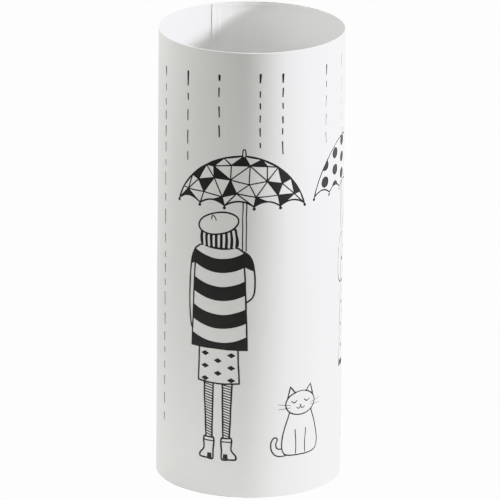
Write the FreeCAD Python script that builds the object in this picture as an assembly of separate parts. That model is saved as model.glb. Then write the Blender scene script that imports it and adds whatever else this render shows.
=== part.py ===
# Round sheet-steel umbrella stand: a rolled and hemmed wall, a pressed base, a lift-out drip tray and rubber
# feet.
#
# The frame has its origin on the floor, at the middle of the stand. +Z is up, and -Y is the front. Lengths
# are in millimetres and angles in degrees, counted anticlockwise from +X as seen from above.
import FreeCAD, Part

import math
import os

# Driving dimensions
OUTER_DIAMETER = 196.0
OVERALL_HEIGHT = 488.0
SHEET = 0.6                  # thickness of the steel
FOOT_REVEAL = 1.0            # the rubber feet hold the wall this far off the floor
TRAY_HEIGHT = 44.0
TRAY_WALL = 1.8

# Wall
OUTER_RADIUS = OUTER_DIAMETER / 2
INNER_RADIUS = OUTER_RADIUS - SHEET
WALL_BOTTOM = FOOT_REVEAL
RIM_HEM_GAP = 0.3            # air between the two legs of the folded rim
RIM_HEM_DEPTH = 5.5
BASE_HEM_DEPTH = 6.0
FLANGE_CLEARANCE = 0.05      # on each side of the base's flange, inside the bottom hem
FLANGE_POCKET = SHEET + 2 * FLANGE_CLEARANCE
HEM_BOTTOM = OVERALL_HEIGHT - RIM_HEM_DEPTH

# Seam: one end of the sheet steps inwards and passes behind the other end
SEAM_ANGLE = 110.0           # where the step starts
STEP_LENGTH = 0.7            # along the wall, over which the sheet steps in
LAP_LENGTH = 10.0            # along the wall, from the start of the step to the free edge
LAP_BOND = 6.0               # the flap lies tight against the wall up to here
LAP_SPRING = 0.35            # the free edge stands this far off the wall
GROOVE_WIDTH = 0.6           # the open line between the two ends, on the outside
GROOVE_FLOOR = 0.15          # steel left under the groove's deep side, outside the inner radius
GROOVE_START = 0.06          # depth of the groove's shallow side
RIM_SLIT = 1.4               # gap between the two ends of the folded rim, at the flap's free edge
RIM_RELIEF = 0.3             # gap between the folded legs at the step
WELD_DIAMETER = 4.0
WELD_DEPTH = 0.12
WELD_COUNT = 7

# Base
BASE_UNDERSIDE = 8.5         # above the floor
BASE_TOP = BASE_UNDERSIDE + SHEET
BASE_BEND = 1.5              # inside radius between the base's floor and its flange
BEAD_RADII = (30.0, 54.0)
BEAD_HALF_WIDTH = 5.0
BEAD_HEIGHT = 1.0
FLAP_BOTTOM = BASE_TOP + 1.0

# Feet
FOOT_CIRCLE_RADIUS = 77.0
FOOT_TOP_RADIUS = 11.0
FOOT_BOTTOM_RADIUS = 9.5
FOOT_EDGE = 1.0              # rounding of the foot's lower edge

# Drip tray
TRAY_FLOOR_RADIUS = 88.0
TRAY_MOUTH_RADIUS = 91.0
TRAY_LIP_RADIUS = 93.5
TRAY_LIP_DROP = 4.0
TRAY_CORNER = 7.0            # outside radius between the tray's floor and its side
TRAY_FOOT_RADIUS = 73.0
TRAY_FOOT_WIDTH = 2.5
TRAY_FOOT_HEIGHT = 1.5
RIB_RADII = (22.0, 44.0, 66.0)
RIB_WIDTH = 1.6
RIB_HEIGHT = 1.5

Z_AXIS = FreeCAD.Vector(0, 0, 1)
ORIGIN = FreeCAD.Vector(0, 0, 0)
FULL_TURN = 360.0


def section_point(radius, height):
    """A point of a revolved outline, which is drawn in the XZ plane."""
    return FreeCAD.Vector(radius, 0, height)


def arc_step(centre_radius, centre_height, size, from_degrees, to_degrees):
    """An outline step round an arc: its middle point and its end."""

    def on_arc(degrees):
        turn = math.radians(degrees)
        return section_point(centre_radius + size * math.cos(turn), centre_height + size * math.sin(turn))

    return on_arc((from_degrees + to_degrees) / 2), on_arc(to_degrees)


def closed_outline(steps):
    """A face from a list of steps: a point is reached by a line, and a (middle, end) pair by an arc."""
    start = steps[0]
    here = start
    edges = []
    for step in steps[1:] + [start]:
        if isinstance(step, tuple):
            middle, end = step
            edges.append(Part.Arc(here, middle, end).toShape())
        else:
            end = step
            edges.append(Part.LineSegment(here, end).toShape())
        here = end
    return Part.Face(Part.Wire(edges))


def revolved(face, angle=FULL_TURN):
    return face.revolve(ORIGIN, Z_AXIS, angle)


def ring(middle_radius, width, bottom, top):
    """A plain flat-topped ring."""
    foot = FreeCAD.Vector(0, 0, bottom)
    outer = Part.makeCylinder(middle_radius + width / 2, top - bottom, foot)
    inner = Part.makeCylinder(middle_radius - width / 2, top - bottom, foot)
    return outer.cut(inner)


def wall_point(along, radius, height):
    """A point at a distance along the wall, anticlockwise from the start of the seam's step."""
    turn = math.radians(SEAM_ANGLE) + along / OUTER_RADIUS
    return FreeCAD.Vector(radius * math.cos(turn), radius * math.sin(turn), height)


def wall_prism(corners, bottom, top):
    """A prism on a plan outline that is given as (distance along the wall, radius) pairs."""
    points = [wall_point(along, radius, bottom) for along, radius in corners]
    outline = Part.makePolygon(points + points[:1])
    return Part.Face(outline).extrude(Z_AXIS * (top - bottom))


def wall_block(start, end, inner_radius, outer_radius, bottom, top):
    """A block between two distances along the wall and two radii."""
    corners = [(start, inner_radius), (end, inner_radius), (end, outer_radius), (start, outer_radius)]
    return wall_prism(corners, bottom, top)


def rim_hem_steps(outer_radius):
    """The folded rim, from the outside of the sheet over the top and round to the inside of the sheet."""
    half = SHEET + RIM_HEM_GAP / 2
    middle = outer_radius - half
    turn_height = OVERALL_HEIGHT - half
    return [
        section_point(outer_radius, turn_height),
        arc_step(middle, turn_height, half, 0, 180),
        section_point(middle - half, HEM_BOTTOM),
        section_point(middle - RIM_HEM_GAP / 2, HEM_BOTTOM),
        section_point(middle - RIM_HEM_GAP / 2, turn_height),
        arc_step(middle, turn_height, RIM_HEM_GAP / 2, 180, 0),
    ]


def base_hem_steps():
    """The folded bottom edge, from the inside of the wall round its pocket and back to the outside."""
    half = SHEET + FLANGE_POCKET / 2
    middle = OUTER_RADIUS - half
    turn_height = WALL_BOTTOM + half
    hem_top = WALL_BOTTOM + BASE_HEM_DEPTH
    return [
        section_point(INNER_RADIUS, turn_height),
        arc_step(middle, turn_height, FLANGE_POCKET / 2, 0, -180),
        section_point(middle - FLANGE_POCKET / 2, hem_top),
        section_point(middle - half, hem_top),
        section_point(middle - half, turn_height),
        arc_step(middle, turn_height, half, -180, 0),
    ]


def seam_flap():
    """The inner end of the sheet: it steps in, lies against the wall, and springs off it at the free edge."""
    back = INNER_RADIUS - SHEET
    inside_wall = INNER_RADIUS + SHEET / 2
    corners = [
        (0.0, INNER_RADIUS),
        (STEP_LENGTH, back),
        (LAP_BOND, back),
        (LAP_LENGTH, back - LAP_SPRING),
        (LAP_LENGTH, INNER_RADIUS - LAP_SPRING),
        (LAP_BOND, INNER_RADIUS),
        (LAP_BOND, inside_wall),
        (0.0, inside_wall),
    ]
    return wall_prism(corners, FLAP_BOTTOM, HEM_BOTTOM + SHEET)


def flap_rim():
    """The folded rim of the flap, one sheet further in than that of the wall."""
    sheet_end = [section_point(INNER_RADIUS - SHEET, HEM_BOTTOM), section_point(INNER_RADIUS, HEM_BOTTOM)]
    outline = closed_outline(rim_hem_steps(INNER_RADIUS) + sheet_end)
    rim = revolved(outline, math.degrees((LAP_LENGTH - STEP_LENGTH) / OUTER_RADIUS))
    rim.rotate(ORIGIN, Z_AXIS, SEAM_ANGLE + math.degrees(STEP_LENGTH / OUTER_RADIUS))
    return rim


def rim_gaps():
    """What is missing from the wall's own rim at the seam: room for the flap, and a slit next to it."""
    inside = INNER_RADIUS - 2 * SHEET - RIM_HEM_GAP
    slit_end = LAP_LENGTH + RIM_SLIT
    above = OVERALL_HEIGHT + SHEET
    room_start = STEP_LENGTH - RIM_RELIEF
    room = wall_block(room_start, slit_end, inside, INNER_RADIUS, HEM_BOTTOM - SHEET, above)
    slit = wall_block(LAP_LENGTH, slit_end, inside, OUTER_RADIUS + SHEET, OVERALL_HEIGHT - 2 * SHEET, above)
    return [room, slit]


def outside_groove():
    """The line that shows outside, where the stepped-in end dives under the other end of the sheet."""
    corners = [
        (0.0, OUTER_RADIUS + SHEET),
        (GROOVE_WIDTH, OUTER_RADIUS + SHEET),
        (GROOVE_WIDTH, INNER_RADIUS + GROOVE_FLOOR),
        (0.0, OUTER_RADIUS - GROOVE_START),
    ]
    return wall_prism(corners, 0, OVERALL_HEIGHT + SHEET)


def weld_dimples():
    """Shallow round marks of the spot welds, in a row down the bonded part of the flap."""
    ball_radius = (WELD_DIAMETER ** 2 / 4 + WELD_DEPTH ** 2) / (2 * WELD_DEPTH)
    ball_place = INNER_RADIUS - SHEET + WELD_DEPTH - ball_radius
    along = (STEP_LENGTH + LAP_BOND) / 2
    spacing = OVERALL_HEIGHT / (WELD_COUNT + 1)
    marks = []
    for number in range(1, WELD_COUNT + 1):
        marks.append(Part.makeSphere(ball_radius, wall_point(along, ball_place, number * spacing)))
    return marks


def wall_sheet():
    """The rolled wall with both hems and the lap seam, as one sheet."""
    wall = revolved(closed_outline(base_hem_steps() + rim_hem_steps(OUTER_RADIUS)))
    wall = wall.cut(rim_gaps())
    wall = wall.fuse([seam_flap(), flap_rim()])
    wall = wall.cut([outside_groove()] + weld_dimples())
    return wall.removeSplitter()


def bead_steps(radius, height, direction):
    """A raised round bead, crossed outwards (direction 1) or inwards (direction -1)."""
    reach = direction * BEAD_HALF_WIDTH
    return [
        section_point(radius - reach, height),
        (section_point(radius, height + BEAD_HEIGHT), section_point(radius + reach, height)),
    ]


def base_pan():
    """The pressed base: a beaded floor with its edge turned down into the wall's bottom hem."""
    flange_outer = INNER_RADIUS - FLANGE_CLEARANCE
    flange_inner = flange_outer - SHEET
    flange_bottom = WALL_BOTTOM + SHEET + FLANGE_POCKET / 2
    bend_radius = flange_inner - BASE_BEND
    bend_height = BASE_UNDERSIDE - BASE_BEND
    steps = [section_point(0, BASE_TOP), section_point(0, BASE_UNDERSIDE)]
    for radius in BEAD_RADII:
        steps += bead_steps(radius, BASE_UNDERSIDE, 1)
    steps += [
        section_point(bend_radius, BASE_UNDERSIDE),
        arc_step(bend_radius, bend_height, BASE_BEND, 90, 0),
        section_point(flange_inner, flange_bottom),
        section_point(flange_outer, flange_bottom),
        section_point(flange_outer, bend_height),
        arc_step(bend_radius, bend_height, BASE_BEND + SHEET, 0, 90),
    ]
    for radius in reversed(BEAD_RADII):
        steps += bead_steps(radius, BASE_TOP, -1)
    return revolved(closed_outline(steps))


def tray_shell(under, mouth):
    """The tray's floor, leaning side and turned-down lip."""
    slope = math.atan2(TRAY_MOUTH_RADIUS - TRAY_FLOOR_RADIUS, mouth - under)
    lean = math.degrees(slope)
    corner_radius = TRAY_FLOOR_RADIUS - TRAY_CORNER
    corner_height = under + TRAY_CORNER
    inner_corner = TRAY_CORNER - TRAY_WALL
    lip_turn = TRAY_WALL / 2
    lip_inner = TRAY_LIP_RADIUS - lip_turn

    def side(height, offset):
        """The side's surface at a height, where offset is its distance from the corner's centre."""
        start_radius = corner_radius + offset * math.cos(slope)
        start_height = corner_height - offset * math.sin(slope)
        return section_point(start_radius + (height - start_height) * math.tan(slope), height)

    return revolved(closed_outline([
        section_point(0, under + TRAY_WALL),
        section_point(0, under),
        section_point(corner_radius, under),
        arc_step(corner_radius, corner_height, TRAY_CORNER, -90, -lean),
        side(mouth - TRAY_WALL, TRAY_CORNER),
        section_point(lip_inner, mouth - TRAY_WALL),
        section_point(lip_inner, mouth - TRAY_LIP_DROP),
        section_point(TRAY_LIP_RADIUS, mouth - TRAY_LIP_DROP),
        section_point(TRAY_LIP_RADIUS, mouth - lip_turn),
        arc_step(lip_inner, mouth - lip_turn, lip_turn, 0, 90),
        side(mouth, inner_corner),
        side(corner_height - inner_corner * math.sin(slope), inner_corner),
        arc_step(corner_radius, corner_height, inner_corner, -lean, -90),
    ]))


def drip_tray():
    """The moulded tray that stands loose on the base, with a foot ring below and ribs on its floor."""
    under = BASE_TOP + TRAY_FOOT_HEIGHT
    floor = under + TRAY_WALL
    sink = TRAY_WALL / 2     # the rings reach this far into the tray's floor
    rings = [ring(TRAY_FOOT_RADIUS, TRAY_FOOT_WIDTH, BASE_TOP, under + sink)]
    for radius in RIB_RADII:
        rings.append(ring(radius, RIB_WIDTH, floor - sink, floor + RIB_HEIGHT))
    shell = tray_shell(under, BASE_TOP + TRAY_HEIGHT)
    return shell.fuse(rings).removeSplitter()


def foot_pad(angle):
    """A tapered rubber foot, stuck to the underside of the base."""
    foot = revolved(closed_outline([
        section_point(0, BASE_UNDERSIDE),
        section_point(0, 0),
        section_point(FOOT_BOTTOM_RADIUS - FOOT_EDGE, 0),
        arc_step(FOOT_BOTTOM_RADIUS - FOOT_EDGE, FOOT_EDGE, FOOT_EDGE, -90, 0),
        section_point(FOOT_TOP_RADIUS, BASE_UNDERSIDE),
    ]))
    foot.translate(FreeCAD.Vector(FOOT_CIRCLE_RADIUS, 0, 0))
    foot.rotate(ORIGIN, Z_AXIS, angle)
    return foot


FEET = {
    "foot_pad_back_right": 45,
    "foot_pad_back_left": 135,
    "foot_pad_front_left": 225,
    "foot_pad_front_right": 315,
}


def build():
    """Every piece of the stand, by name."""
    pieces = {
        "wall_sheet": wall_sheet(),
        "base_pan": base_pan(),
        "drip_tray": drip_tray(),
    }
    for name, angle in FEET.items():
        pieces[name] = foot_pad(angle)
    return pieces


os.makedirs("parts", exist_ok=True)
for name, shape in build().items():
    print(f"{name}: {len(shape.Solids)} solid, valid {shape.isValid()}, {shape.Volume:.0f} mm3")
    shape.exportStep(f"parts/{name}.step")
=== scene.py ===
# The looks of the round steel umbrella stand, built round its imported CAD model.
import math
import random

import bpy
from mathutils import Matrix, Vector, noise
from mathutils.geometry import convex_hull_2d, delaunay_2d_cdt


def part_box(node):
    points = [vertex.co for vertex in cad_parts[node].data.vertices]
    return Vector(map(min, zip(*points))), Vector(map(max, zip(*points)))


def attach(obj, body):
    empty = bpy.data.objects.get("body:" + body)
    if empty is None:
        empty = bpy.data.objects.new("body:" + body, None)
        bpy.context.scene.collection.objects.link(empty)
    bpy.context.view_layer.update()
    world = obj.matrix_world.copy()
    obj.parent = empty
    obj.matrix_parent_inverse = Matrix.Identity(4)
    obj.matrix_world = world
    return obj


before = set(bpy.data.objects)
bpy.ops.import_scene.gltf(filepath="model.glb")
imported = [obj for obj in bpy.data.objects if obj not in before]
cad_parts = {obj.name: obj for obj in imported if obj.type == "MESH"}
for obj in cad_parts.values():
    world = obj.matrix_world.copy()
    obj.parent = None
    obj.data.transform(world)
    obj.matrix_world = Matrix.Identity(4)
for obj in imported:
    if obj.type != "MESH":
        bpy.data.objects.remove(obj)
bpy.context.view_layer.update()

# Sizes from the frame, in metres
wall_low, wall_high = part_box("wall_sheet")
RADIUS = (wall_high.x - wall_low.x) / 2
HEIGHT = wall_high.z

# Print. The drawings lie flat first, in millimetres: u runs round the wall from the front towards +X, and v
# is the height above the floor.
MILLIMETRE = 0.001
WALL_RADIUS = RADIUS / MILLIMETRE
FILM_TOP = WALL_RADIUS + 0.05
FILM_BOTTOM = WALL_RADIUS - 0.15     # the wall's facets lie up to 0.11 mm inside its true radius
GUIDE_SPACING = 4.0                  # the film is cut along upright lines, so that it bends with the wall
MERGE_DISTANCE = 0.002               # points closer than this become one
THINNEST = 0.01                      # the least area for each millimetre of outline
GRID = 4.0                           # the size of the cells that the layers are sorted into
GROUND = 43.0                        # the line that people stand on

# Pens, by the width of their lines
PEN = 1.75
CAT_PEN = 1.45
FERRULE_PEN = 1.35
FACET_PEN = 1.3
FINE_PEN = 1.2
WHISKER_PEN = 0.5
SEAM_PEN = 1.4
STRAND_PEN = 2.5
HAND_DRIFT = 0.35                    # how far an unsteady hand strays
HAND_REACH = 14.0                    # and over what length it does so
PRESSURE_CHANGE = 0.16               # the share by which a line's width varies
PRESSURE_REACH = 9.0


# Pen and ink --------------------------------------------------------------------------------------------

def curve(points, closed=False, spacing=1.8):
    """A smooth line through the points."""
    count = len(points)
    corners = [Vector(point) for point in points]
    line = []
    for i in range(count if closed else count - 1):
        if closed:
            a, b, c, d = (corners[(i + k) % count] for k in (-1, 0, 1, 2))
        else:
            a, b, c, d = (corners[min(max(i + k, 0), count - 1)] for k in (-1, 0, 1, 2))
        steps = max(2, round((c - b).length / spacing))
        for step in range(steps):
            t = step / steps
            bend = 2 * a - 5 * b + 4 * c - d
            line.append(b + ((c - a) * t + bend * t ** 2 + (3 * b - 3 * c + d - a) * t ** 3) / 2)
    if not closed:
        line.append(corners[-1])
    return line


def straight(points, closed=False, spacing=4.0):
    """Straight runs between the points, with more points along them."""
    corners = [Vector(point) for point in points]
    ends = corners[1:] + corners[:1] if closed else corners[1:]
    line = []
    for start, end in zip(corners, ends):
        steps = max(1, round((end - start).length / spacing))
        line += [start.lerp(end, step / steps) for step in range(steps)]
    if not closed:
        line.append(corners[-1])
    return line


def ellipse(x, y, half_width, half_height, sides=40):
    """An ellipse round the point (x, y)."""
    turns = [math.tau * side / sides for side in range(sides)]
    return [Vector((x + half_width * math.cos(turn), y + half_height * math.sin(turn))) for turn in turns]


def disc(x, y, radius, sides=18):
    return ellipse(x, y, radius, radius, sides)


def on_side(points, side):
    """The points, mirrored to the left where side is -1."""
    return [(side * x, y) for x, y in points]


def signed_area(points):
    """The area inside an outline, which is negative if the outline runs clockwise."""
    return sum(a.cross(b) for a, b in zip(points, points[1:] + points[:1])) / 2


def outline_length(points):
    return sum((b - a).length for a, b in zip(points, points[1:] + points[:1]))


def hand_drawn(point):
    """Moves a point a little, as an unsteady hand would. Each direction has its own layer of the noise."""
    place = Vector((point.x / HAND_REACH, point.y / HAND_REACH, 0.5))
    other_layer = place + Vector((0, 0, 7.3))
    drift = Vector((noise.noise(place), noise.noise(other_layer)))
    return point + drift * HAND_DRIFT


class Drawing:
    """Inked and blank areas, each over the ones before it. The drawing's own x runs to the right and y up
    from a place (u, v) on the wall. In a mirrored drawing x runs to the left."""

    def __init__(self, u, v, mirrored=False):
        self.origin = Vector((u, v))
        self.side = -1 if mirrored else 1
        self.layers = []

    def placed(self, points):
        """The points' places on the wall, laid flat."""
        return [hand_drawn(self.origin + Vector((self.side * point[0], point[1]))) for point in points]

    def add_layer(self, points, inked):
        """Adds an area, unless it is so thin that it has no inside."""
        area = signed_area(points)
        if abs(area) < THINNEST * outline_length(points):
            return
        self.layers.append((points if area > 0 else points[::-1], inked))

    def area(self, outline, inked=True):
        self.add_layer(self.placed(outline), inked)

    def line(self, points, width=PEN, closed=False, inked=True, end_width=None):
        """A pen line: a chain of four-sided pieces with rounded ends, slightly uneven in width."""
        line = self.placed(points)
        end_width = width if end_width is None else end_width
        count = len(line)
        sections = []
        for i, here in enumerate(line):
            before = line[i - 1] if closed or i > 0 else here
            after = line[(i + 1) % count] if closed or i < count - 1 else here
            along = (after - before).normalized()
            across = Vector((-along.y, along.x))
            place = Vector((here.x / PRESSURE_REACH, here.y / PRESSURE_REACH, 3.5))
            pressure = 1 + PRESSURE_CHANGE * noise.noise(place)
            half = (width + (end_width - width) * i / count) / 2 * pressure
            to_next = (after - here).normalized()
            corner = max(0.7, abs(to_next.dot(along))) if to_next.length > 0 else 1
            sections.append((here, along, across * half / corner))
        if not closed:
            sections = round_end(sections[0], -1)[::-1] + sections + round_end(sections[-1], 1)
        following = sections[1:] + sections[:1] if closed else sections[1:]
        for (here, _, side), (there, _, next_side) in zip(sections, following):
            piece = [here + side, here - side, there - next_side, there + next_side]
            hull = convex_hull_2d(piece)
            if len(hull) > 2:
                self.add_layer([piece[i] for i in hull], inked)

    def shape(self, outline, width=PEN, inked=False):
        """An area with a line round it. A blank one hides what is behind it."""
        self.area(outline, inked)
        self.line(outline, width, closed=True)


def round_end(section, direction):
    """The narrowing sections that round off the end of a pen line."""
    here, along, side = section
    reach = side.length
    steps = ((0.5, 0.87), (0.87, 0.5), (1.0, 0.08))
    return [(here + along * direction * reach * far, along, side * narrow) for far, narrow in steps]


# Film on the wall ---------------------------------------------------------------------------------------

def is_inside(point, outline):
    """Whether a line to the right of the point crosses the outline an odd number of times."""
    inside = False
    for a, b in zip(outline, outline[1:] + outline[:1]):
        if (a.y > point.y) != (b.y > point.y):
            crossing = a.x + (point.y - a.y) / (b.y - a.y) * (b.x - a.x)
            inside = inside != (crossing > point.x)
    return inside


def grid_cell(x, y):
    """The column and the row of the grid cell that holds a point."""
    return math.floor(x / GRID), math.floor(y / GRID)


def layers_by_cell(layers):
    """The numbers of the layers that reach into each cell of a coarse grid, the uppermost first."""
    cells = {}
    for number in reversed(range(len(layers))):
        outline = layers[number][0]
        left, low = grid_cell(min(c.x for c in outline), min(c.y for c in outline))
        right, high = grid_cell(max(c.x for c in outline), max(c.y for c in outline))
        for column in range(left, right + 1):
            for row in range(low, high + 1):
                cells.setdefault((column, row), []).append(number)
    return cells


def inked_triangles(layers):
    """The flat triangles that stay inked once each layer has covered those before it."""
    corners, edges = [], []
    for outline, _ in layers:
        start, count = len(corners), len(outline)
        edges += [(start + i, start + (i + 1) % count) for i in range(count)]
        corners += outline
    left, right = min(c.x for c in corners), max(c.x for c in corners)
    low, high = min(c.y for c in corners) - 1, max(c.y for c in corners) + 1
    for number in range(math.ceil(left / GUIDE_SPACING), math.floor(right / GUIDE_SPACING) + 1):
        edges.append((len(corners), len(corners) + 1))
        corners += [Vector((number * GUIDE_SPACING, low)), Vector((number * GUIDE_SPACING, high))]
    points, _, triangles, _, _, _ = delaunay_2d_cdt(corners, edges, [], 0, MERGE_DISTANCE, False)
    cells = layers_by_cell(layers)
    inked = []
    for triangle in triangles:
        middle = sum((points[i] for i in triangle), Vector((0, 0))) / 3
        for number in cells.get(grid_cell(*middle), []):
            if is_inside(middle, layers[number][0]):
                if layers[number][1]:
                    inked.append(tuple(triangle))
                break
    return points, inked


def separate_fans(triangles):
    """Corner numbers in which areas that only touch at one point no longer share that point."""
    group = {}

    def find(key):
        while group.setdefault(key, key) != key:
            key = group[key]
        return key

    edge_owner = {}
    for number, triangle in enumerate(triangles):
        for a, b in zip(triangle, triangle[1:] + triangle[:1]):
            edge_owner[a, b] = number
    for (a, b), number in edge_owner.items():
        other = edge_owner.get((b, a))
        if other is not None:
            group[find((number, a))] = find((other, a))
            group[find((number, b))] = find((other, b))
    new_number = {}
    origin = []
    fans = []
    for number, triangle in enumerate(triangles):
        fan = []
        for corner in triangle:
            key = find((number, corner))
            if key not in new_number:
                new_number[key] = len(origin)
                origin.append(corner)
            fan.append(new_number[key])
        fans.append(tuple(fan))
    return fans, origin


def on_wall(point, radius):
    """The place in the frame of a point on the flat wall."""
    turn = point.x / WALL_RADIUS
    return Vector((math.sin(turn) * radius, -math.cos(turn) * radius, point.y)) * MILLIMETRE


def print_film(name, drawings):
    """A closed film of ink, bent round the wall, from the flat drawings."""
    layers = [layer for drawing in drawings for layer in drawing.layers]
    points, triangles = inked_triangles(layers)
    fans, origin = separate_fans(triangles)
    count = len(origin)
    corners = [on_wall(points[i], radius) for radius in (FILM_TOP, FILM_BOTTOM) for i in origin]
    faces = list(fans) + [(c + count, b + count, a + count) for a, b, c in fans]
    edges = {edge for fan in fans for edge in zip(fan, fan[1:] + fan[:1])}
    faces += [(b, a, a + count, b + count) for a, b in edges if (b, a) not in edges]
    mesh = bpy.data.meshes.new(name)
    mesh.from_pydata(corners, [], faces)
    mesh.shade_smooth()
    mesh.set_sharp_from_angle(angle=math.radians(40))
    mesh.materials.append(ink)
    film = bpy.data.objects.new(name, mesh)
    bpy.context.scene.collection.objects.link(film)
    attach(film, "stand")


# Umbrellas ----------------------------------------------------------------------------------------------

RIB_PLACES = (-1.0, -0.61, -0.22, 0.22, 0.61, 1.0)
CANOPY_RISE = 54.7
CANOPY_POWER = 0.75                  # 0.5 would be half an ellipse, and 1 a parabola
APEX_SHIFT = 5.0
SCALLOP = 5.5                        # how far the edge bows up between two ribs
SHAFT_BOTTOM = -48.0
SHAFT_HALF_WIDTH = 1.9
KNOB_RADIUS = 1.7
FACET_SIZE = 15.0
FACET_SHIFT = 3.0                    # how far a corner may stray from its row
EDGE_REACHES = (0.28, 0.54, 0.76, 0.92)    # the corners on the canopy's outline
INKED_SHARE = 0.286                  # no more than about this share of the facets is inked
DOT_RADIUS = 6.0
DOT_COLUMNS = 19.3                   # from one column of dots to the next
DOT_ROWS = 18.0
FIRST_COLUMN = 16.0                  # how far the first column is from the rib tip
FIRST_ROW = 13.0
CHEQUER_ROWS = (0.0, 0.4, 0.7, 1.0)


def panels():
    """The pairs of neighbouring ribs."""
    return list(zip(RIB_PLACES, RIB_PLACES[1:]))


class Umbrella:
    """An open umbrella seen from the side, with x = 0 at its middle and y = 0 at its rib tips. It leans a
    little, so its top is beside the middle."""

    def __init__(self, drawing, half_width):
        self.drawing = drawing
        self.half_width = half_width

    def point(self, place, reach):
        """A point on the canopy. Place runs from -1 to 1 across it, and reach from 0 at the top to 1."""
        x = place * reach * self.half_width + APEX_SHIFT * (1 - reach)
        return Vector((x, CANOPY_RISE * max(0.0, 1 - reach ** 2) ** CANOPY_POWER))

    def half_width_at(self, y):
        """Half the canopy's width at a height, measured beside its leaning middle line."""
        return self.half_width * (1 - (y / CANOPY_RISE) ** (1 / CANOPY_POWER)) ** 0.5

    def rib(self, place, start=0.0, end=1.0):
        """A rib's line. Its points lie closer together towards the tip, where it turns down."""
        shares = [1 - (1 - step / 16) ** 2 for step in range(17)]
        return [self.point(place, start + (end - start) * share) for share in shares]

    def row(self, left, right, reach):
        """A row between two ribs, which bows up as the edge does."""
        start, end = self.point(left, reach), self.point(right, reach)
        bow = Vector((0, SCALLOP * reach))
        steps = [step / 8 for step in range(9)]
        return [start.lerp(end, t) + bow * 4 * t * (1 - t) for t in steps]

    def cell(self, left, right, start, end):
        """The outline of the part of a panel between two rows."""
        down = self.rib(right, start, end)
        up = self.rib(left, start, end)[::-1]
        top = self.row(left, right, start) if start > 0 else [self.point(left, 0)]
        return top[:-1] + down[:-1] + self.row(left, right, end)[::-1][:-1] + up[:-1]

    def frame(self):
        """The shaft, the edges, the rib tips and the ferrule, drawn over the pattern."""
        edges = [self.row(left, right, 1.0) for left, right in panels()]
        for edge in edges:
            self.drawing.area(edge + [edge[-1] - Vector((0, PEN)), edge[0] - Vector((0, PEN))], inked=False)
        for side in (-1, 1):
            x = APEX_SHIFT + 1.0 + side * SHAFT_HALF_WIDTH
            self.drawing.line(straight([(x, SCALLOP * 0.8), (x, SHAFT_BOTTOM)]), width=FINE_PEN)
        for edge in edges:
            self.drawing.line(edge)
        self.drawing.line(self.rib(-1.0, 0.02)[::-1] + self.rib(1.0, 0.02))
        for place in RIB_PLACES:
            tip = self.point(place, 1.0)
            knob = tip + Vector((0.8 * place, -2.4))
            self.drawing.line([tip, knob], width=1.6)
            self.drawing.area(disc(knob.x, knob.y, KNOB_RADIUS))
        left = [(-1.4, -1), (-1.5, 5), (-0.8, 7)]
        ferrule = [(APEX_SHIFT + x, CANOPY_RISE + y) for x, y in left + on_side(left[::-1], -1)]
        self.drawing.shape(curve(ferrule, closed=True, spacing=1.0), width=FERRULE_PEN)


def facets(umbrella):
    """Uneven triangles. Some are inked, and no two of those share a side."""
    draw = random.Random(3)
    corners = [umbrella.point(0, 0)] + [umbrella.point(place, 1) for place in RIB_PLACES]
    for reach in EDGE_REACHES:
        corners += [umbrella.point(-1, reach), umbrella.point(1, reach)]
    for row in range(3):
        y = (row + 0.8) * FACET_SIZE
        half_row = umbrella.half_width_at(y) - 0.6 * FACET_SIZE
        count = round(2 * half_row / (1.25 * FACET_SIZE)) + 1
        for column in range(count):
            x = half_row * (2 * column / (count - 1) - 1)
            shift_x = draw.uniform(-FACET_SHIFT, FACET_SHIFT)
            shift_y = draw.uniform(-FACET_SHIFT, FACET_SHIFT)
            corners.append(Vector((x + shift_x, y + shift_y)))
    points, _, triangles, _, _, _ = delaunay_2d_cdt(corners, [], [], 0, MERGE_DISTANCE, False)
    every_side, inked_sides = set(), set()
    for triangle in draw.sample(triangles, len(triangles)):
        sides = {tuple(sorted(side)) for side in zip(triangle, triangle[1:] + triangle[:1])}
        every_side |= sides
        if not sides & inked_sides and len(inked_sides) < INKED_SHARE * 3 * len(triangles):
            inked_sides |= sides
            umbrella.drawing.area([points[i] for i in triangle])
    for start, end in sorted(every_side):
        umbrella.drawing.line(straight([points[start], points[end]]), width=FACET_PEN)


def dots(umbrella):
    """Large dots in staggered columns, cut off by the dome and by the scalloped edge."""
    for column in range(6):
        x = umbrella.half_width - FIRST_COLUMN - column * DOT_COLUMNS
        for row in range(4):
            y = FIRST_ROW + (row - 0.5 * (column % 2)) * DOT_ROWS
            umbrella.drawing.area(disc(x, y, DOT_RADIUS, sides=28))
    dome = umbrella.rib(-1.0)[::-1] + umbrella.rib(1.0)[1:]
    round_dome = [(95, 0), (95, 90), (-95, 90), (-95, 0)]
    umbrella.drawing.area(dome + round_dome, inked=False)


def gores(umbrella):
    """Every second panel inked."""
    for left, right in panels()[::2]:
        umbrella.drawing.area(umbrella.cell(left, right, 0.0, 1.0))


def chequers(umbrella):
    """A chequerboard of panels and rows."""
    for panel, (left, right) in enumerate(panels()):
        for row, (start, end) in enumerate(zip(CHEQUER_ROWS, CHEQUER_ROWS[1:])):
            if (panel + row) % 2 == 0:
                umbrella.drawing.area(umbrella.cell(left, right, start, end))
        for reach in CHEQUER_ROWS[1:-1]:
            umbrella.drawing.line(umbrella.row(left, right, reach), width=FINE_PEN)
    for place in RIB_PLACES[1:-1]:
        umbrella.drawing.line(umbrella.rib(place, 0.1), width=FINE_PEN)


# People, seen from behind --------------------------------------------------------------------------------

BOOT_TOP = 23.5                      # these heights are above the ground
SKIRT_HEM = 85.0
COAT_HEM = 122.0
LONG_HEM = 82.0
SHOULDER = 229.0
NECK = 236.0
BAND_PERIOD = 30.6
BAND_DEPTH = 15.5


def coat_half_width(y):
    """Half the width of the coat, which widens towards the hem."""
    return 27.5 + 3.5 * (SHOULDER - y) / (SHOULDER - COAT_HEM)


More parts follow.
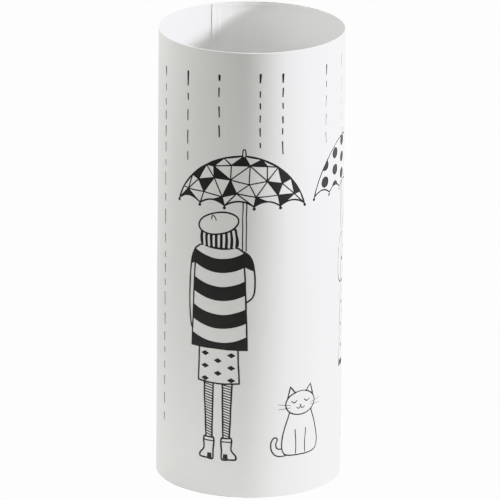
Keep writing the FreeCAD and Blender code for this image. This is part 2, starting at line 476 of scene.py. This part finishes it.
def boots(drawing):
    outline = [(4.5, BOOT_TOP), (15, BOOT_TOP), (15.2, 11), (19.6, 5)]
    outline += [(19.8, 0.8), (12, 0), (5, 0), (4.6, 9)]
    heel = [(6, 0.4), (11.5, 0.4), (11, 6), (6.4, 6)]
    cuff = [(4.6, BOOT_TOP - 4), (15, BOOT_TOP - 4)]
    for side in (1, -1):
        drawing.shape(curve(on_side(outline, side), closed=True))
        drawing.area(on_side(heel, side))
        drawing.line(on_side(cuff, side), width=FINE_PEN)


def legs(drawing, spacing):
    """Stockings with slanting stripes all the way up."""
    outline = [(6, BOOT_TOP), (13, BOOT_TOP), (15.6, SKIRT_HEM), (5, SKIRT_HEM)]
    for side in (-1, 1):
        drawing.shape(straight(on_side(outline, side), closed=True))
        for ring in range(1, int((SKIRT_HEM - BOOT_TOP) / spacing)):
            y = BOOT_TOP + ring * spacing
            share = (y - BOOT_TOP) / (SKIRT_HEM - BOOT_TOP)
            stripe = [(6 - share, y + side * 1.2), (13 + 2.6 * share, y - side * 1.2)]
            drawing.line(straight(on_side(stripe, side)), width=FINE_PEN)


def skirt(drawing, motif):
    """A straight skirt with staggered rows of a small motif."""
    sag = SKIRT_HEM - 1.5
    outline = [(-21.5, COAT_HEM), (21.5, COAT_HEM), (23, SKIRT_HEM), (8, sag), (-8, sag), (-22.5, SKIRT_HEM)]
    drawing.shape(straight(outline, closed=True))
    for row in range(5):
        columns = (-14.5, 14.5) if row % 2 == 0 else (0.0,)
        for x in columns:
            motif(drawing, x, COAT_HEM - 6.5 - row * 6.9)


def diamond(drawing, x, y):
    drawing.area([(x - 4.6, y), (x, y - 2.8), (x + 4.6, y), (x, y + 2.8)])


def spot(drawing, x, y):
    drawing.area(disc(x, y, 2.4))


def hanging_arm(drawing, inked_sleeve):
    outline = [(-25, 227), (-30.5, 221), (-33.2, 205), (-34.4, 180), (-34, 160), (-32.4, 145)]
    outline += [(-29.5, 140), (-27.5, 146), (-26, 180)]
    drawing.shape(curve(outline, closed=True))
    if inked_sleeve:
        drawing.area(curve([(-25, 227), (-30.5, 221), (-32.6, 211), (-27, 214)]))


def raised_arm(drawing, inked_sleeve):
    outline = [(24, 228), (31, 227), (36.2, 218), (38.6, 200), (38, 185), (34, 177.5), (27, 176), (25, 200)]
    drawing.shape(curve(outline, closed=True))
    if inked_sleeve:
        drawing.area(curve([(24, 228), (31, 227), (36.2, 218), (37.6, 209), (27, 214)]))


def coat(drawing, hem):
    """A coat's plain outline, from the neck to the hem."""
    hip = 180.0
    right = [(11, NECK), (22, SHOULDER + 4), (27, SHOULDER)]
    right += [(coat_half_width(y), y) for y in (hip, hem)]
    drawing.shape(straight(on_side(right[::-1], -1) + right, closed=True))


def coat_bands(drawing, hem):
    """Broad bands that sag a little between the sides."""
    for number in range(4):
        edge = SHOULDER - 0.5 - number * BAND_PERIOD
        top, bottom = [], []
        for step in range(-8, 9):
            share = step / 8
            sag = 8.0 * (1 - share ** 2)
            high, low = edge - sag, max(edge - sag - BAND_DEPTH, hem)
            top.append((share * coat_half_width(high), high))
            bottom.append((share * coat_half_width(low), low))
        drawing.area(top + bottom[::-1])


def coat_spots(drawing, hem):
    """Small spots in staggered rows, over a plain inked hem."""
    for row in range(int((SHOULDER - 6 - hem) / 12)):
        y = SHOULDER - 6 - row * 12
        for column in range(-2, 3):
            x = (column + 0.5 * (row % 2)) * 12
            if abs(x) < coat_half_width(y) - 4:
                drawing.area(disc(x, y, 2.3))
    half = coat_half_width(hem)
    drawing.area([(-half, hem + 6), (half, hem + 6), (half, hem), (-half, hem)])


def coat_stripes(drawing, hem):
    """Upright stripes."""
    for column in range(-2, 3):
        x = column * 11.5
        drawing.area([(x - 2.6, NECK - 6), (x + 2.6, NECK - 6), (x * 1.08 + 3, hem), (x * 1.08 - 3, hem)])


def coat_inked(drawing, hem):
    """A dark coat with a pale seam down the back and a belt."""
    drawing.area([(-27, SHOULDER), (-11, NECK), (11, NECK), (27, SHOULDER), (31, hem), (-31, hem)])
    upper_seam = [(0, NECK - 8), (0, 178)]
    belt_top = [(-28.5, 172), (28.5, 172)]
    belt_bottom = [(-28.7, 165), (28.7, 165)]
    lower_seam = [(0, 159), (0, hem + 2)]
    for line in (upper_seam, belt_top, belt_bottom, lower_seam):
        drawing.line(straight(line), width=SEAM_PEN, inked=False)


def hair(drawing):
    """A bob with pale strands."""
    outline = [(-18, 254), (-21, 247), (-21.6, 240), (-19.5, 234), (-10, 231.4), (0, 230.8)]
    outline += [(10, 231.4), (19.5, 234), (21.6, 240), (20, 248), (15, 256)]
    drawing.area(curve(outline, closed=True))
    for strand in range(-3, 4):
        x = strand * 5.4
        drawing.line(curve([(x * 0.95, 252), (x * 1.04, 243), (x, 234)]), width=STRAND_PEN, inked=False)


def cap(drawing):
    """A soft flat cap, tipped a little, with a loop on top."""
    tip = Matrix.Rotation(math.radians(15), 2)
    middle = Vector((-1.0, 259.0))
    drawing.shape([middle + tip @ point for point in ellipse(0, 0, 22.8, 11.6)])
    loop = [(-8.4, 263.4), (-7.4, 267), (-4.6, 265.6), (-3.2, 262.4)]
    drawing.line(curve(loop, spacing=0.8), width=FINE_PEN)


def person(drawing, motif, ring_spacing, coat_pattern, hem):
    """A whole person, from the parts behind to those in front. A coat with bands has inked sleeves."""
    boots(drawing)
    legs(drawing, ring_spacing)
    hanging_arm(drawing, coat_pattern is coat_bands)
    raised_arm(drawing, coat_pattern is coat_bands)
    skirt(drawing, motif)
    coat(drawing, hem)
    coat_pattern(drawing, hem)
    hair(drawing)
    cap(drawing)


# Cat -----------------------------------------------------------------------------------------------------

def cat(drawing):
    """A plain seated cat with closed eyes."""
    tail = [(-15, 2), (-27, 1), (-33, 7), (-34, 16), (-30.5, 22), (-27, 20), (-28.6, 14), (-26, 9), (-15, 9)]
    flank = [(-9, 54), (-16, 40), (-21.5, 20), (-21, 6), (-13, 0.6)]
    drawing.shape(curve(tail, closed=True), width=CAT_PEN)
    drawing.shape(curve(flank + on_side(flank[::-1], -1), closed=True), width=CAT_PEN)
    for side in (-1, 1):
        ear = [(side * 5, 67), (side * 12.5, 76), (side * 16.5, 61)]
        drawing.shape(straight(ear, closed=True, spacing=2.5), width=CAT_PEN)
    drawing.shape(ellipse(0, 57, 18, 13), width=CAT_PEN)
    drawing.area(ellipse(0, 66.5, 7.5, 3.2), inked=False)
    for side in (-1, 1):
        drawing.line(curve([(side * 11, 60), (side * 7.8, 57.8), (side * 4.6, 60)]), width=FINE_PEN)
        drawing.line(curve([(0, 53.2), (side * 2.2, 51), (side * 4.8, 52.4)], spacing=1.0), width=FINE_PEN)
        drawing.line(straight([(side * 12.5, 55.5), (side * 26, 58)]), width=WHISKER_PEN)
        drawing.line(straight([(side * 12.5, 53), (side * 25.5, 52.5)]), width=WHISKER_PEN)
        drawing.line(curve([(side * 6.5, 28), (side * 5.6, 14), (side * 5.8, 2)]), width=FINE_PEN)
    drawing.area([(-1.6, 55.2), (0, 53), (1.6, 55.2)])


# Rain ----------------------------------------------------------------------------------------------------

DASH_LENGTHS = (5.0, 16.0)
DASH_GAPS = (7.5, 12.0)
DASH_WIDTHS = (1.3, 1.7)
DASH_LEANS = (-0.03, 0.06)
FIRST_DASH_WIDTH = 2.5
DASH_END_WIDTH = 1.1


def rain(drawing, u, top, bottom, draw):
    """A column of uneven dashes, the first one the boldest. It is stretched to end at the bottom."""
    dashes = [draw.uniform(*DASH_LENGTHS)]
    gaps = [0.0]
    while sum(dashes) + sum(gaps) < top - bottom:
        dashes.append(draw.uniform(*DASH_LENGTHS))
        gaps.append(draw.uniform(*DASH_GAPS))
    stretch = (top - bottom) / (sum(dashes) + sum(gaps))
    high = top
    width = FIRST_DASH_WIDTH
    for dash, gap in zip(dashes, gaps):
        high -= gap * stretch
        low = high - dash * stretch
        lean = draw.uniform(*DASH_LEANS) * dash
        drawing.line(straight([(u, high), (u + lean, low)]), width=width, end_width=DASH_END_WIDTH)
        high = low
        width = draw.uniform(*DASH_WIDTHS)


# Materials -----------------------------------------------------------------------------------------------

def new_material(name, colour, roughness):
    """A material with a Principled shader: the node tree and that shader."""
    material = bpy.data.materials.new(name)
    material.use_nodes = True
    shader = material.node_tree.nodes["Principled BSDF"]
    shader.inputs["Base Color"].default_value = (*colour, 1)
    shader.inputs["Roughness"].default_value = roughness
    return material, material.node_tree, shader


def noise_texture(tree, scale, detail):
    """Noise in the object's own coordinates. Scale counts its cells in a metre."""
    place = tree.nodes.new("ShaderNodeTexCoord")
    texture = tree.nodes.new("ShaderNodeTexNoise")
    texture.inputs["Scale"].default_value = scale
    texture.inputs["Detail"].default_value = detail
    tree.links.new(place.outputs["Object"], texture.inputs["Vector"])
    return texture.outputs["Fac"]


def vary(tree, source, low, high, socket):
    """Drives a socket from low to high with a texture."""
    spread = tree.nodes.new("ShaderNodeMapRange")
    spread.inputs["From Min"].default_value = 0.3
    spread.inputs["From Max"].default_value = 0.7
    spread.inputs["To Min"].default_value = low
    spread.inputs["To Max"].default_value = high
    tree.links.new(source, spread.inputs["Value"])
    tree.links.new(spread.outputs["Result"], socket)


def vary_colour(tree, source, dark, light, socket):
    """Drives a colour socket from dark to light with a texture."""
    mix = tree.nodes.new("ShaderNodeMix")
    mix.data_type = "RGBA"
    mix.inputs["A"].default_value = (*dark, 1)
    mix.inputs["B"].default_value = (*light, 1)
    tree.links.new(source, mix.inputs["Factor"])
    tree.links.new(mix.outputs["Result"], socket)


def bump(tree, shader, layers):
    """Bumps from one or more textures, each with its height in metres."""
    below = None
    for source, height in layers:
        node = tree.nodes.new("ShaderNodeBump")
        node.inputs["Strength"].default_value = 1.0
        node.inputs["Distance"].default_value = height
        tree.links.new(source, node.inputs["Height"])
        if below is not None:
            tree.links.new(below, node.inputs["Normal"])
        below = node.outputs["Normal"]
    tree.links.new(below, shader.inputs["Normal"])


def powder_coat():
    """White powder coating: fine orange peel over a slightly wavy sheet."""
    material, tree, shader = new_material("powder_coat", (0.9, 0.9, 0.895), 0.38)
    patches = noise_texture(tree, 14, 2)
    peel = noise_texture(tree, 900, 2)
    waves = noise_texture(tree, 22, 1)
    vary_colour(tree, patches, (0.892, 0.893, 0.888), (0.908, 0.908, 0.904), shader.inputs["Base Color"])
    vary(tree, patches, 0.34, 0.42, shader.inputs["Roughness"])
    bump(tree, shader, [(waves, 0.00015), (peel, 0.000012)])
    return material


def printed_ink():
    """Black screen ink, cloudy in its tone and its gloss."""
    material, tree, shader = new_material("print_ink", (0.053, 0.053, 0.055), 0.42)
    clouds = noise_texture(tree, 60, 3)
    grain = noise_texture(tree, 1500, 2)
    vary_colour(tree, clouds, (0.048, 0.048, 0.050), (0.058, 0.058, 0.060), shader.inputs["Base Color"])
    vary(tree, clouds, 0.36, 0.5, shader.inputs["Roughness"])
    bump(tree, shader, [(grain, 0.000008)])
    return material


def tray_plastic():
    """Grey moulded plastic with a fine spark-eroded grain."""
    material, tree, shader = new_material("tray_plastic", (0.1, 0.101, 0.104), 0.5)
    clouds = noise_texture(tree, 25, 2)
    grain = noise_texture(tree, 1400, 3)
    vary_colour(tree, clouds, (0.092, 0.093, 0.096), (0.108, 0.109, 0.112), shader.inputs["Base Color"])
    vary(tree, clouds, 0.44, 0.56, shader.inputs["Roughness"])
    bump(tree, shader, [(grain, 0.00002)])
    return material


def foot_rubber():
    """Matt black rubber."""
    material, tree, shader = new_material("foot_rubber", (0.02, 0.02, 0.02), 0.75)
    clouds = noise_texture(tree, 120, 3)
    grain = noise_texture(tree, 1100, 4)
    vary_colour(tree, clouds, (0.016, 0.016, 0.016), (0.028, 0.028, 0.027), shader.inputs["Base Color"])
    vary(tree, clouds, 0.68, 0.84, shader.inputs["Roughness"])
    bump(tree, shader, [(grain, 0.00004)])
    return material


def assign(node, material):
    """Gives a CAD node its material."""
    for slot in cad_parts[node].material_slots:
        slot.material = material


coat_paint = powder_coat()
rubber = foot_rubber()
ink = printed_ink()
assign("wall_sheet", coat_paint)
assign("base_pan", coat_paint)
assign("drip_tray", tray_plastic())
for foot in ("front_left", "front_right", "back_left", "back_right"):
    assign(f"foot_pad_{foot}", rubber)


# The printed scene ---------------------------------------------------------------------------------------

def umbrella_and_person(number, umbrella_place, half_width, canopy_pattern,
                        person_u, coat_pattern, hem, motif, ring_spacing):
    """One umbrella and the person under it. Whoever stands right of the umbrella's middle is mirrored."""
    u, tip_height = umbrella_place
    mirrored = person_u > u
    canopy = Drawing(u, tip_height, mirrored)
    umbrella = Umbrella(canopy, half_width)
    canopy_pattern(umbrella)
    umbrella.frame()
    figure = Drawing(person_u, GROUND, mirrored)
    person(figure, motif, ring_spacing, coat_pattern, hem)
    print_film(f"print_walker_{number}", [canopy, figure])


walkers = (
    dict(umbrella_place=(-11.8, 322), half_width=70.9, canopy_pattern=facets,
         person_u=-33.0, coat_pattern=coat_bands, hem=COAT_HEM, motif=diamond, ring_spacing=2.9),
    dict(umbrella_place=(134.0, 325), half_width=60.7, canopy_pattern=dots,
         person_u=159.0, coat_pattern=coat_spots, hem=LONG_HEM, motif=spot, ring_spacing=6.0),
    dict(umbrella_place=(258.0, 323), half_width=50.0, canopy_pattern=gores,
         person_u=279.0, coat_pattern=coat_inked, hem=COAT_HEM, motif=diamond, ring_spacing=4.5),
    dict(umbrella_place=(-208.0, 321), half_width=55.0, canopy_pattern=chequers,
         person_u=-187.0, coat_pattern=coat_stripes, hem=COAT_HEM, motif=spot, ring_spacing=3.6),
)
for number, walker in enumerate(walkers, 1):
    umbrella_and_person(number, **walker)

cats = ((58.0, False), (212.0, True))    # each one's place, and whether it is mirrored
for number, (u, mirrored) in enumerate(cats, 1):
    pet = Drawing(u, GROUND + 2.5, mirrored)
    cat(pet)
    print_film(f"print_cat_{number}", [pet])

rain_columns = (                     # each one's place, top and bottom
    (-110.3, 456, 69),
    (-71.8, 460.5, 365.5),
    (-34.0, 462, 396),
    (9.3, 465, 386.5),
    (33.3, 464, 378.5),
    (89.5, 465, 381),
    (124.0, 468, 396),
    (160.0, 464, 408),
    (186.0, 465, 379),
    (204.0, 460, 160),
    (232.0, 462, 409),
    (262.0, 464, 415),
    (289.0, 463, 396),
    (-289.0, 460, 72),
    (-256.0, 462, 383),
    (-222.0, 465, 390),
    (-184.0, 462, 391),
    (-158.0, 465, 376),
)
drops = Drawing(0, 0)
draw = random.Random(7)
for u, top, bottom in rain_columns:
    rain(drops, u, top, bottom, draw)
print_film("print_rain", [drops])


# Stage ---------------------------------------------------------------------------------------------------

FLOOR_HALF = 30.0
FLOOR_SEEN = 3.0                     # how bright the floor looks to the camera
FLOOR_GLOW = 0.52                    # how brightly it lights the stand from all round it
GLOW_START = 0.3                     # the distances over which that glow fades
GLOW_END = 0.75
BACK_GLOW = 0.52                     # how brightly it lights the stand from behind
BACK_START = 0.25                    # the distances over which that glow grows
BACK_END = 0.6

LENS = 552.5                         # the camera is fitted to the stand's outline
PITCH = math.radians(18.05)
ROLL = math.radians(0.558)
CAMERA_PLACE = Vector((0, -78.25, 27.983)) * RADIUS


def math_node(tree, operation, first, second):
    """A maths node between two values, each a number or another node's output."""
    node = tree.nodes.new("ShaderNodeMath")
    node.operation = operation
    for socket, value in zip(node.inputs, (first, second)):
        if isinstance(value, float):
            socket.default_value = value
        else:
            tree.links.new(value, socket)
    return node.outputs[0]


def smooth_step(tree, source, start, end, at_start, at_end):
    """A value that changes smoothly while the source goes from start to end."""
    node = tree.nodes.new("ShaderNodeMapRange")
    node.interpolation_type = "SMOOTHSTEP"
    for name, value in zip(("From Min", "From Max", "To Min", "To Max"), (start, end, at_start, at_end)):
        node.inputs[name].default_value = value
    tree.links.new(source, node.inputs["Value"])
    return node.outputs["Result"]


def make_floor():
    """A grey floor that the camera sees as white. Round the stand and behind it, it gives off light."""
    signs = ((-1, -1), (1, -1), (1, 1), (-1, 1))
    corners = [(x * FLOOR_HALF, y * FLOOR_HALF, 0) for x, y in signs]
    mesh = bpy.data.meshes.new("floor")
    mesh.from_pydata(corners, [], [(0, 1, 2, 3)])
    floor = bpy.data.objects.new("floor", mesh)
    bpy.context.scene.collection.objects.link(floor)
    material, tree, shader = new_material("floor_white", (0.5, 0.5, 0.5), 0.9)
    place = tree.nodes.new("ShaderNodeTexCoord")
    distance = tree.nodes.new("ShaderNodeVectorMath")
    distance.operation = "LENGTH"
    tree.links.new(place.outputs["Object"], distance.inputs[0])
    glow = smooth_step(tree, distance.outputs["Value"], GLOW_START, GLOW_END, FLOOR_GLOW, 0.0)
    axes = tree.nodes.new("ShaderNodeSeparateXYZ")
    tree.links.new(place.outputs["Object"], axes.inputs["Vector"])
    back = smooth_step(tree, axes.outputs["Y"], BACK_START, BACK_END, 0.0, BACK_GLOW)
    path = tree.nodes.new("ShaderNodeLightPath")
    seen = math_node(tree, "MULTIPLY", path.outputs["Is Camera Ray"], FLOOR_SEEN)
    shader.inputs["Emission Color"].default_value = (1, 1, 1, 1)
    unseen = math_node(tree, "MAXIMUM", glow, back)
    tree.links.new(math_node(tree, "ADD", unseen, seen), shader.inputs["Emission Strength"])
    mesh.materials.append(material)


def area_light(name, azimuth, elevation, distance, size, power):
    """A square soft box that points at the middle of the mouth. Azimuth is from the front towards +X."""
    turn, rise = math.radians(azimuth), math.radians(elevation)
    aim = Vector((0, 0, HEIGHT))
    away = Vector((math.sin(turn) * math.cos(rise), -math.cos(turn) * math.cos(rise), math.sin(rise)))
    data = bpy.data.lights.new(name, "AREA")
    data.shape = "SQUARE"
    data.size = size
    data.energy = power
    light = bpy.data.objects.new(name, data)
    light.location = aim + away * distance
    light.rotation_mode = "QUATERNION"
    light.rotation_quaternion = (-away).to_track_quat("-Z", "Y")
    light.visible_camera = False
    bpy.context.scene.collection.objects.link(light)
    return light


def make_world(colour, strength):
    """Even light from all round."""
    world = bpy.data.worlds.new("studio")
    world.use_nodes = True
    background = world.node_tree.nodes["Background"]
    background.inputs["Color"].default_value = (*colour, 1)
    background.inputs["Strength"].default_value = strength
    bpy.context.scene.world = world


def make_camera():
    """A long lens from the front and above, rolled very slightly."""
    data = bpy.data.cameras.new("camera")
    data.sensor_width = 36.0
    data.lens = LENS
    data.clip_end = 100.0
    camera = bpy.data.objects.new("camera", data)
    tilt = Matrix.Rotation(math.pi / 2 - PITCH, 4, "X")
    roll = Matrix.Rotation(ROLL, 4, "Z")
    camera.matrix_world = Matrix.Translation(CAMERA_PLACE) @ tilt @ roll
    bpy.context.scene.collection.objects.link(camera)
    bpy.context.scene.camera = camera


make_floor()
make_world((1.0, 1.006, 0.945), 0.545)
key = area_light("key", azimuth=84.0, elevation=14.6, distance=1.8, size=0.27, power=4.22)
key.data.spread = math.radians(60)
key.data.color = (0.93, 0.93, 1.0)
area_light("fill", azimuth=-88, elevation=35, distance=0.6, size=0.3, power=1.2)
area_light("back", azimuth=180, elevation=50, distance=2.0, size=0.8, power=18)
make_camera()
bpy.context.scene.view_settings.view_transform = "Khronos PBR Neutral"
